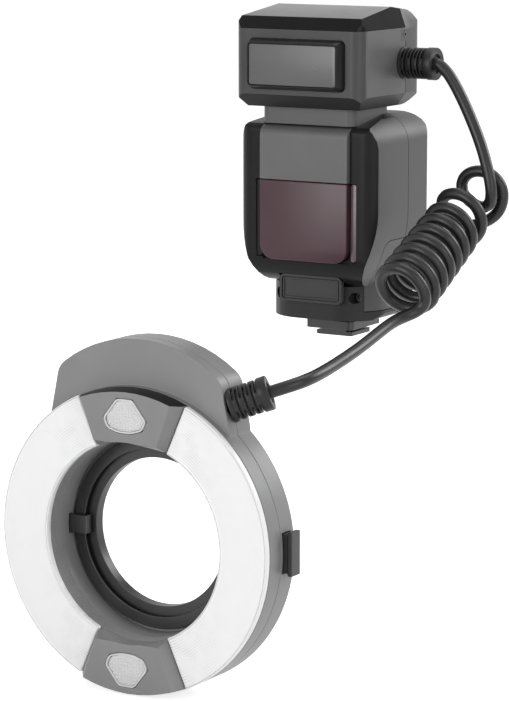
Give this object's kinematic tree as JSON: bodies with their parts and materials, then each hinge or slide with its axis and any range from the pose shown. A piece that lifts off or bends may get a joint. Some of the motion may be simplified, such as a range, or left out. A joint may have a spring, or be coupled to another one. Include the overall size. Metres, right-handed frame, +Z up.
{
  "type": "macro ring flash",
  "caption": "Macro ring flash: a hot-shoe control unit with a fixed head, a coiled cord, and a ring head with diffusers and focus lamps that screws to a lens by an adapter.",
  "frame": {"origin": "centre of the underside of the hot-shoe plate, under the control unit", "axes": "+Z up out of the shoe, the flash faces -Y, +X to the right seen from the front, where the cord and the battery door are"},
  "size_m": [0.1517, 0.2065, 0.2793],
  "materials": {
    "body_plastic": "satin",
    "trim_plastic": "satin",
    "gloss_black": "gloss",
    "red_window": "gloss",
    "head_window": "satin",
    "button_plastic": "matte",
    "test_red": "satin",
    "steel": "satin",
    "gold_contact": "polished",
    "rubber": "satin",
    "diffuser_white": "frosted",
    "clear_lens": "gloss",
    "reflector_metal": "polished",
    "tube_glass": "gloss",
    "display_glass": "gloss",
    "black_aluminium": "satin",
    "circuit_board": "satin",
    "cell_sleeve": "gloss",
    "winding": "satin",
    "capacitor_sleeve": "satin",
    "led": "gloss"
  },
  "bodies": {
    "control_unit": {"shoe_foot": "body_plastic", "shoe_contacts": "gold_contact", "foot_retainer": "steel", "foot_screws": "steel", "rear_shell": "body_plastic", "front_shell": "body_plastic", "front_panel": "trim_plastic", "af_window": "red_window", "af_lamp": "led", "front_plate": "trim_plastic", "case_screws": "steel", "battery_tray": "trim_plastic", "battery_cells": "cell_sleeve", "tray_contacts": "steel", "door_pin": "steel", "main_board": "circuit_board", "transformer": "winding", "lcd_module": "trim_plastic", "lcd_window": "display_glass", "key_switches": "trim_plastic", "neck": "trim_plastic", "head_front_shell": "body_plastic", "head_rear_shell": "body_plastic", "head_top_cap": "gloss_black", "head_window": "head_window", "flash_capacitor": "capacitor_sleeve", "head_gland": "rubber", "cord_upper": "rubber", "cord_coil": "rubber"},
    "shoe_lock": {"lock_ring": "button_plastic"},
    "shoe_pin": {"lock_pin": "steel"},
    "door": {"battery_door": "body_plastic", "door_contacts": "steel"},
    "key_1": {"key_one": "button_plastic"},
    "key_2": {"key_two": "button_plastic"},
    "key_3": {"key_three": "button_plastic"},
    "key_4": {"key_four": "button_plastic"},
    "dial": {"select_dial": "button_plastic"},
    "set_key": {"set_button": "trim_plastic"},
    "switch": {"power_switch": "button_plastic"},
    "test_key": {"test_button": "test_red"},
    "ring_head": {"ring_gland": "rubber", "ring_front_case": "trim_plastic", "ring_rear_case": "body_plastic", "bore_sleeve": "body_plastic", "diffuser_left": "diffuser_white", "diffuser_right": "diffuser_white", "reflectors": "reflector_metal", "flash_tubes": "tube_glass", "lamp_block_top": "trim_plastic", "lamp_block_bottom": "trim_plastic", "lamp_lenses": "clear_lens", "lamp_leds": "led", "ring_board": "circuit_board", "release_springs": "steel", "ring_screws": "steel", "cord_lower": "rubber"},
    "left_release": {"release_left": "button_plastic"},
    "right_release": {"release_right": "button_plastic"},
    "adapter": {"lens_adapter": "black_aluminium"}
  },
  "joints": [
    {"name": "ring_pull", "type": "slide", "parent": "control_unit", "child": "ring_head", "axis": [0, -1, 0], "range_m": [0, 0.06], "deforming": ["cord_coil"]},
    {"name": "battery_door_swing", "type": "hinge", "parent": "control_unit", "child": "door", "pos_m": [0.0284, 0.007, 0.013], "axis": [0, 1, 0], "range_deg": [0, 105]},
    {"name": "lock_ring_turn", "type": "hinge", "parent": "control_unit", "child": "shoe_lock", "pos_m": [0, 0, 0.0087], "axis": [0, 0, 1], "range_deg": [0, 120]},
    {"name": "lock_pin_drop", "type": "slide", "parent": "control_unit", "child": "shoe_pin", "axis": [0, 0, -1], "range_m": [0, 0.0016]},
    {"name": "key_1_press", "type": "slide", "parent": "control_unit", "child": "key_1", "axis": [0, -1, 0], "range_m": [0, 0.0006], "stiffness_N_per_m": 300},
    {"name": "key_2_press", "type": "slide", "parent": "control_unit", "child": "key_2", "axis": [0, -1, 0], "range_m": [0, 0.0006], "stiffness_N_per_m": 300},
    {"name": "key_3_press", "type": "slide", "parent": "control_unit", "child": "key_3", "axis": [0, -1, 0], "range_m": [0, 0.0006], "stiffness_N_per_m": 300},
    {"name": "key_4_press", "type": "slide", "parent": "control_unit", "child": "key_4", "axis": [0, -1, 0], "range_m": [0, 0.0006], "stiffness_N_per_m": 300},
    {"name": "dial_turn", "type": "hinge", "parent": "control_unit", "child": "dial", "pos_m": [0, 0.018, 0.0528], "axis": [0, 1, 0], "continuous": true},
    {"name": "set_press", "type": "slide", "parent": "control_unit", "child": "set_key", "axis": [0, -1, 0], "range_m": [0, 0.0006], "stiffness_N_per_m": 300},
    {"name": "switch_slide", "type": "slide", "parent": "control_unit", "child": "switch", "axis": [1, 0, 0], "range_m": [0, 0.004]},
    {"name": "test_press", "type": "slide", "parent": "control_unit", "child": "test_key", "axis": [0, -1, 0], "range_m": [0, 0.0006], "stiffness_N_per_m": 300},
    {"name": "left_release_press", "type": "slide", "parent": "ring_head", "child": "left_release", "axis": [1, 0, 0], "range_m": [0, 0.0015], "stiffness_N_per_m": 400, "deforming": ["release_springs"]},
    {"name": "right_release_press", "type": "slide", "parent": "ring_head", "child": "right_release", "axis": [-1, 0, 0], "range_m": [0, 0.0015], "stiffness_N_per_m": 400, "deforming": ["release_springs"]},
    {"name": "adapter_turn", "type": "hinge", "parent": "ring_head", "child": "adapter", "pos_m": [0, -0.157, -0.0633], "axis": [0, 1, 0], "continuous": true}
  ],
  "couplings": [
    {"joint": "lock_ring_turn", "follows": "lock_pin_drop", "rad_per_m": 1300}
  ]
}
